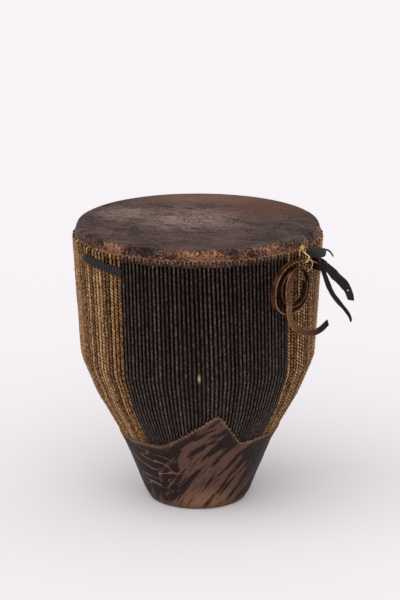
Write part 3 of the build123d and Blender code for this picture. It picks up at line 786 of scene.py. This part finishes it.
def make_cord_end():
    """Make the loose end of the right-hand cord, through radii and heights at one azimuth."""
    azimuth = 85.2
    spots = ((156.6, 322.0), (160.0, 321.9), (162.5, 320.6), (165.2, 317.6), (167.4, 313.8))
    radii, heights = np.transpose(spots)
    line = through(polar(radii, azimuth, heights), 0.8)
    width = np.linspace(WOUND_CORD, 1.7, len(line))
    part = tube(line, radial(azimuth + 90), width, width, lobe=CORD_LOBE, twist=2.0)
    piece("band_cord_tip", [part], CORD_PAINT, "drum", ["band_cord_end"])


make_binding("collar_binding_left", start=-61.0, sweep=25.5, top=328.9, drop=6.3, loops=17)
make_binding("collar_binding_right", start=58.0, sweep=29.0, top=335.3, drop=17.5, loops=19)
make_cord_end()

# The strap's places are along its plane's level direction, up, and out from the drum's axis.
strap_out = radial(STRAP_AZIMUTH)
strap_along = radial(STRAP_AZIMUTH + 90)
COIL_SIDES, COIL_DEPTH, COIL_SQUARE = 16, 1.9, 0.45
TAIL_STEP, TAIL_COLUMNS, TAIL_MIDDLE, TAIL_BELLY, TAIL_UNEVEN = 1.7, 7, 3, 0.25, 0.1
# The hitch: each turn's place along the strap, size and lean, and then its reach and its strap.
KNOT_TURNS = ((-4.7, 0.92, 0.25), (0.5, 1.04, -0.2), (5.9, 0.95, 0.3))
KNOT_DEEP, KNOT_HIGH, KNOT_SQUARE = 6.3, 6.4, 0.7
KNOT_STRAP, KNOT_STRAP_THICKNESS, KNOT_CORE = 5.4, 1.9, 9.6


def on_strap(along, height, distance):
    """Return points from places in the strap's plane and distances from the drum's axis."""
    along, height, distance = np.broadcast_arrays(np.asarray(along, float), height, distance)
    points = strap_along * along[..., None] + strap_out * distance[..., None]
    points[..., 2] = height
    return points


def strap_line(spots, step):
    """Return a smooth line through places on the strap."""
    return through(on_strap(*np.transpose(spots)), step)


def coil_line():
    """Return the strap's coil: a run up to the top, then shrinking quarter turns."""
    line = [np.array(STRAP_START), np.array(STRAP_RISE)]
    way = unit(line[1] - line[0])
    # Each turn has a radius and an angle, and a straight stretch has no radius and a length.
    turns = [(COIL_RADII[0], pi - np.arctan2(way[1], way[0])), (None, STRAP_TOP_RUN)]
    turns += [(radius, pi / 2) for radius in COIL_RADII] + [(None, COIL_END_RUN)]
    for radius, amount in turns:
        if radius is None:
            line.append(line[-1] + way * amount)
            continue
        steps = max(3, int(amount * radius / 2.5))
        centre = line[-1] + radius * np.array([-way[1], way[0]])
        arm = line[-1] - centre
        for angle in np.arange(1, steps + 1) / steps * amount:
            spin = np.array([[cos(angle), -sin(angle)], [sin(angle), cos(angle)]])
            line.append(centre + spin @ arm)
        way = spin @ way
    return np.array(line)


def make_coil():
    """Make the strap's coil: a flat strap on edge, with cut edges and painted shade and dirt on its inner
    end.
    """
    line = coil_line()
    share = np.linspace(0, 1, len(line))
    path = on_strap(line[:, 0], line[:, 1], STRAP_MIDDLE + 0.35 * np.sin(share * 31))
    sway = lumps(path, size=16.0, seed=8) * np.sin(share * pi)
    path = path + strap_along * sway[:, None]
    width = STRAP_WIDTH - 0.5 + 0.5 * np.sin(share * 19 + 1)
    way = unit(np.gradient(path, axis=0))
    part = tube(path, np.cross(strap_out, way), width, COIL_DEPTH, COIL_SIDES, power=COIL_SQUARE)
    cut = np.abs(np.cos(ring(COIL_SIDES))) > 0.9
    # The inner turns darken: painted shade, with dirt.
    dark = np.clip((share - 0.42) * 3, 0, 0.55)
    marks = {"cut": np.tile(cut, len(path)), "tip": np.repeat(dark, COIL_SIDES)}
    piece("strap_coil_leather", [part], STRAP_PAINT, "strap", ["strap_coil"], marks)


def pierce(flat, line, hole):
    """Move a strap's corners round a hole onto the hole's edge, and return the row of its middle."""
    centre, size = np.array(hole[:2]), hole[2]
    row = int(np.argmin(np.linalg.norm(line - centre, axis=1)))
    for i in range(row - 1, row + 2):
        for j in range(TAIL_MIDDLE - 1, TAIL_MIDDLE + 2):
            if (i, j) != (row, TAIL_MIDDLE):
                flat[i, j] = centre + unit(flat[i, j] - flat[row, TAIL_MIDDLE]) * size
    return row


def make_tail(name, spots, widths, distance, paint, hole=None, slant=0.0, curl=0.0, belly=0.0):
    """Make a flat strap end along spots, with widths at its root, belly and tip, and perhaps a hole.

    slant is the slope of its cut tip, curl how far the tip lifts, and belly how pale its middle is.
    """
    line = through(spots, TAIL_STEP)
    rows = len(line)
    way = unit(np.gradient(line, axis=0))
    normal = np.stack([-way[:, 1], way[:, 0]], 1)
    share = np.linspace(0, 1, rows)
    width = np.interp(share, (0, TAIL_BELLY, 1), widths) * (1 + 0.05 * np.sin(share * 23))
    uneven = lumps(on_strap(line[:, 0], line[:, 1], distance), size=7.0, seed=9)
    width = width * (1 + TAIL_UNEVEN * uneven)
    across = np.linspace(-0.5, 0.5, TAIL_COLUMNS)
    flat = line[:, None] + normal[:, None] * (width[:, None] * across[None])[..., None]
    cut = slant * across[None] * np.clip(share * 6 - 5, 0, 1)[:, None]
    flat += way[:, None] * cut[..., None]
    skip = np.zeros((rows - 1, TAIL_COLUMNS - 1), bool)
    if hole:
        row = pierce(flat, line, hole)
        skip[row - 1:row + 1, TAIL_MIDDLE - 1:TAIL_MIDDLE + 1] = True
    lift = distance + curl * share[:, None] ** 3 + 0.5 * np.sin(share[:, None] * 9 + across[None] * 2)
    points = on_strap(flat[..., 0], flat[..., 1], lift)
    if hole:
        # The loose point in the hole joins its neighbour.
        points[row, TAIL_MIDDLE] = points[row, TAIL_MIDDLE - 1]
    part = lattice(points, across * STRAP_WIDTH, np.arange(rows) * TAIL_STEP, skip, closed=False)
    tip = np.clip((share - 0.86) * 9, 0, 0.9) * (belly > 0)
    pale = belly * np.exp(-(((share - 0.42) / 0.22) ** 2))
    marks = {"cut": np.tile(np.abs(across) > 0.45, rows), "tip": np.repeat(tip, TAIL_COLUMNS)}
    marks["belly"] = np.repeat(pale, TAIL_COLUMNS)
    obj = piece(name + "_leather", [part], paint, "strap", [name], marks)
    thicken(obj, STRAP_THICKNESS * 0.9, 0, 1)


def make_knot():
    """Make the hitch: three turns of leather round a core of strands."""
    way = unit(np.array(STRAP_RISE) - np.array(STRAP_START))
    along = strap_along * way[0] + np.array([0, 0, way[1]])
    up = np.cross(along, strap_out)
    middle = on_strap(*STRAP_START, STRAP_MIDDLE)
    angle = ring(40)
    parts = []
    for shift, size, lean in KNOT_TURNS:
        deep = squarer(np.cos(angle), KNOT_SQUARE) * KNOT_DEEP * size
        high = squarer(np.sin(angle), KNOT_SQUARE) * KNOT_HIGH * size
        base = middle + along * shift
        path = base + strap_out * deep[:, None] + up * high[:, None] + along * (lean * high)[:, None]
        turn = tube(path, path - base, KNOT_STRAP, KNOT_STRAP_THICKNESS, 10, closed=True, power=KNOT_SQUARE)
        parts.append(turn)
    core = middle + along * np.linspace(-6.0, 7.5, 12)[:, None]
    parts.append(tube(core, strap_out, KNOT_CORE, KNOT_CORE, 12))
    piece("strap_knot_leather", parts, DARK_STRAP_PAINT, "strap", ["strap_knot"])


make_coil()
long_end = [(9, 323), (-1, 312), (-4.5, 299), (-2.5, 285.6), (-1.5, 272), (2, 260), (11, 250.5)]
long_end += [(24, 244), (39, 240.5), (51, 242.5), (63, 249)]
make_tail("strap_tail_long", long_end, (7.0, 9.5, 8.0), STRAP_FRONT + 1.3, STRAP_PAINT,
          hole=(-2.5, 285.6, 1.8), slant=2.0, curl=1.0, belly=0.55)
wide_end = [(55.8, 320.6), (61.2, 318.1), (68, 312.8), (78, 303.6), (88.5, 294.7)]
wide_end += [(97.3, 285.6), (102.8, 275.7), (105.6, 267.6)]
make_tail("strap_tail_wide", wide_end, (9.0, 12.5, 11.0), STRAP_FRONT - 1.0, DARK_STRAP_PAINT,
          hole=(99.5, 281.5, 0.9), slant=7.0)
narrow_end = [(58.4, 316.8), (61.5, 312), (65.5, 303), (71, 292), (79, 279.5), (89.5, 267.5)]
narrow_end += [(100, 256.5), (108.5, 246), (111.6, 238.5)]
make_tail("strap_tail_narrow", narrow_end, (5.0, 8.0, 3.6), STRAP_BACK + 3.0, DARK_STRAP_PAINT)
make_knot()

# The raffia's knot, the ends that stand out of it, and how flat a strand is.
RAFFIA_KNOT, RAFFIA_ENDS, RAFFIA_FLATNESS = (27.0, 346.2, 154.8), 13, 0.7


def make_raffia():
    """Make the lashing: strands round one thong and the strap, a knot on the skirt and its loose ends."""
    strands = []
    for shift in (-0.9, 0.0, 0.9):
        loop = [(26.5 + shift, 329, 150.2), (26.0 + shift, 329, 160), (26.5 + shift, 330, 164.6)]
        loop += [(29.0 + shift, 333, 164.9), (31.0 + shift, 336, 164.2), (31.0 + shift, 338.5, 158)]
        loop += [(29.5, 342.5, 155.2), (27.5, 345.5, 154.6)]
        strands.append(tube(strap_line(loop, 1.0), strap_out, width=1.1, depth=0.7, sides=6))
    along, height, distance = RAFFIA_KNOT
    for number in range(RAFFIA_ENDS):
        angle = 2 * pi * number / RAFFIA_ENDS + 0.4 * rng.random()
        bend = angle + 0.5
        reach = 2.2 + 3.6 * rng.random()
        out = distance + 1.8 * rng.random()
        tip = (along + reach * cos(angle), height + 0.8 * reach * sin(angle), out)
        middle = (along + 0.5 * reach * cos(bend), height + 0.5 * reach * sin(bend), distance + 1.6)
        line = strap_line([RAFFIA_KNOT, middle, tip], 0.8)
        width = np.linspace(1.0, 0.45, len(line))
        strands.append(tube(line, strap_out, width, width * RAFFIA_FLATNESS, 5))
    angle = ring(24)
    for lean in (0.5, -0.6):
        out = distance + 0.9 + lean * np.cos(angle)
        turn = on_strap(along + 1.9 * np.cos(angle), height + 1.5 * np.sin(angle), out)
        strands.append(tube(turn, strap_out, width=1.2, depth=1.0, sides=6, closed=True))
    short = [(26.0, 344.5, 155.4), (23.5, 342.0, 156.4), (22.0, 339.0, 157.0), (21.5, 336.8, 157.4)]
    strands.append(tube(strap_line(short, 0.8), strap_out, width=1.0, depth=0.7, sides=6))
    piece("raffia_lashing", strands, RAFFIA_PAINT, "drum", ["raffia_tie"])


def make_curl():
    """Make the raffia's curled end, which lies on the strap's front."""
    spots = ((31.5, 332.5), (34.5, 330.5), (36.0, 326.0), (34.0, 321.5), (30.5, 319.0), (27.5, 318.6))
    line = strap_line([(along, height, STRAP_FRONT + 1.3) for along, height in spots], 0.8)
    width = np.linspace(1.3, 0.7, len(line))
    part = tube(line, strap_out, width, width * RAFFIA_FLATNESS, 6)
    piece("raffia_curl", [part], RAFFIA_PAINT, "strap", ["raffia_end"])


make_raffia()
make_curl()

# Loose fibres, and how far they stay from a run's foot and from both of its ends together.
FIBRES, FIBRE_START, FIBRE_MARGIN = 420, 12, 30


def make_fibres():
    """Make loose fibres that stand out of the natural thongs."""
    hairs = []
    for _ in range(FIBRES):
        run = natural_runs[rng.integers(len(natural_runs))]
        height = run.foot + FIBRE_START + (run.top - run.foot - FIBRE_MARGIN) * rng.random()
        azimuth = run.azimuth(height)
        root = polar(run.seat(height) + THONG, azimuth, height)
        away = radial(azimuth) * (0.8 + 1.6 * rng.random())
        away = away + radial(azimuth + 90) * (3 * rng.random() - 1.5)
        drop = np.array([0, 0, 3 * rng.random() - 2.0])
        line = through([root - away * 0.3, root + away * 0.6, root + away + drop], 0.8)
        width = np.linspace(0.7, 0.25, len(line))
        hairs.append(tube(line, np.array([0, 0, 1.0]), width, width, 4))
    count = sum(len(verts) for verts, _, _ in hairs)
    # The fibres get no painted shade.
    marks = {key: np.zeros(count) for key in ("groove_shade", "worn", "tone")}
    marks["crest"] = np.ones(count)
    piece("thong_fibres", hairs, NATURAL_PAINT, "drum", (), marks)


make_fibres()

# The stage, in metres: each lamp has its place, the angle of its soft disc in degrees, and its strength.
FLOOR_REACH = 9.0
LAMPS = (("key", (-1.5, -2.2, 2.1), 105, 1.5), ("fill", (2.0, -1.4, 2.2), 120, 0.5))
SKY_LIGHT, SKY_SEEN = 0.66, 0.95
CAMERA_PLACE, CAMERA_PITCH = (0, -2.7532, 1.0171), 0.2703
CAMERA_LENS, CAMERA_SENSOR = 137.7, 36.0
FRAMING_SHIFT, PHOTO_HEIGHT = 2.2, 600


def make_floor():
    """Make the pale floor."""
    mesh = bpy.data.meshes.new("floor")
    corners = ((-1, -1), (1, -1), (1, 1), (-1, 1))
    mesh.from_pydata([(x * FLOOR_REACH, y * FLOOR_REACH, 0) for x, y in corners], [], [(0, 1, 2, 3)])
    floor = bpy.data.objects.new("floor", mesh)
    bpy.context.scene.collection.objects.link(floor)
    paper = Paint("floor_paper")
    paper.feed(paper.shader.inputs["Base Color"], rgb(244, 241, 244))
    paper.feed(paper.shader.inputs["Roughness"], 1.0)
    paper.feed(paper.shader.inputs["Specular IOR Level"], 0.0)
    mesh.materials.append(paper.material)


def make_lamps():
    """Make two wide, soft suns that point at the drum's foot."""
    for name, place, softness, strength in LAMPS:
        light = bpy.data.lights.new(name, "SUN")
        light.angle = radians(softness)
        light.energy = strength
        lamp = bpy.data.objects.new(name, light)
        lamp.location = place
        lamp.rotation_euler = (-Vector(place)).to_track_quat("-Z", "Y").to_euler()
        bpy.context.scene.collection.objects.link(lamp)


def make_world():
    """Make the pale surroundings, brighter where the camera sees them than as light."""
    world = bpy.data.worlds.new("studio")
    world.use_nodes = True
    tree = world.node_tree
    sky = tree.nodes["Background"]
    sky.inputs["Color"].default_value = rgb(250, 247, 248)
    seen = tree.nodes.new("ShaderNodeLightPath").outputs["Is Camera Ray"]
    level = tree.nodes.new("ShaderNodeMapRange")
    level.inputs["To Min"].default_value = SKY_LIGHT
    level.inputs["To Max"].default_value = SKY_SEEN
    tree.links.new(seen, level.inputs["Value"])
    tree.links.new(level.outputs[0], sky.inputs["Strength"])
    bpy.context.scene.world = world


def make_camera():
    """Make the camera at the photograph's angle and framing."""
    camera = bpy.data.cameras.new("camera")
    camera.lens = CAMERA_LENS
    camera.sensor_width = CAMERA_SENSOR
    camera.shift_x = FRAMING_SHIFT / PHOTO_HEIGHT
    seat = bpy.data.objects.new("camera", camera)
    seat.location = CAMERA_PLACE
    seat.rotation_euler = (pi / 2 - CAMERA_PITCH, 0, 0)
    bpy.context.scene.collection.objects.link(seat)
    bpy.context.scene.camera = seat


make_floor()
make_lamps()
make_world()
make_camera()
bpy.context.scene.view_settings.view_transform = "Standard"
bpy.context.view_layer.update()
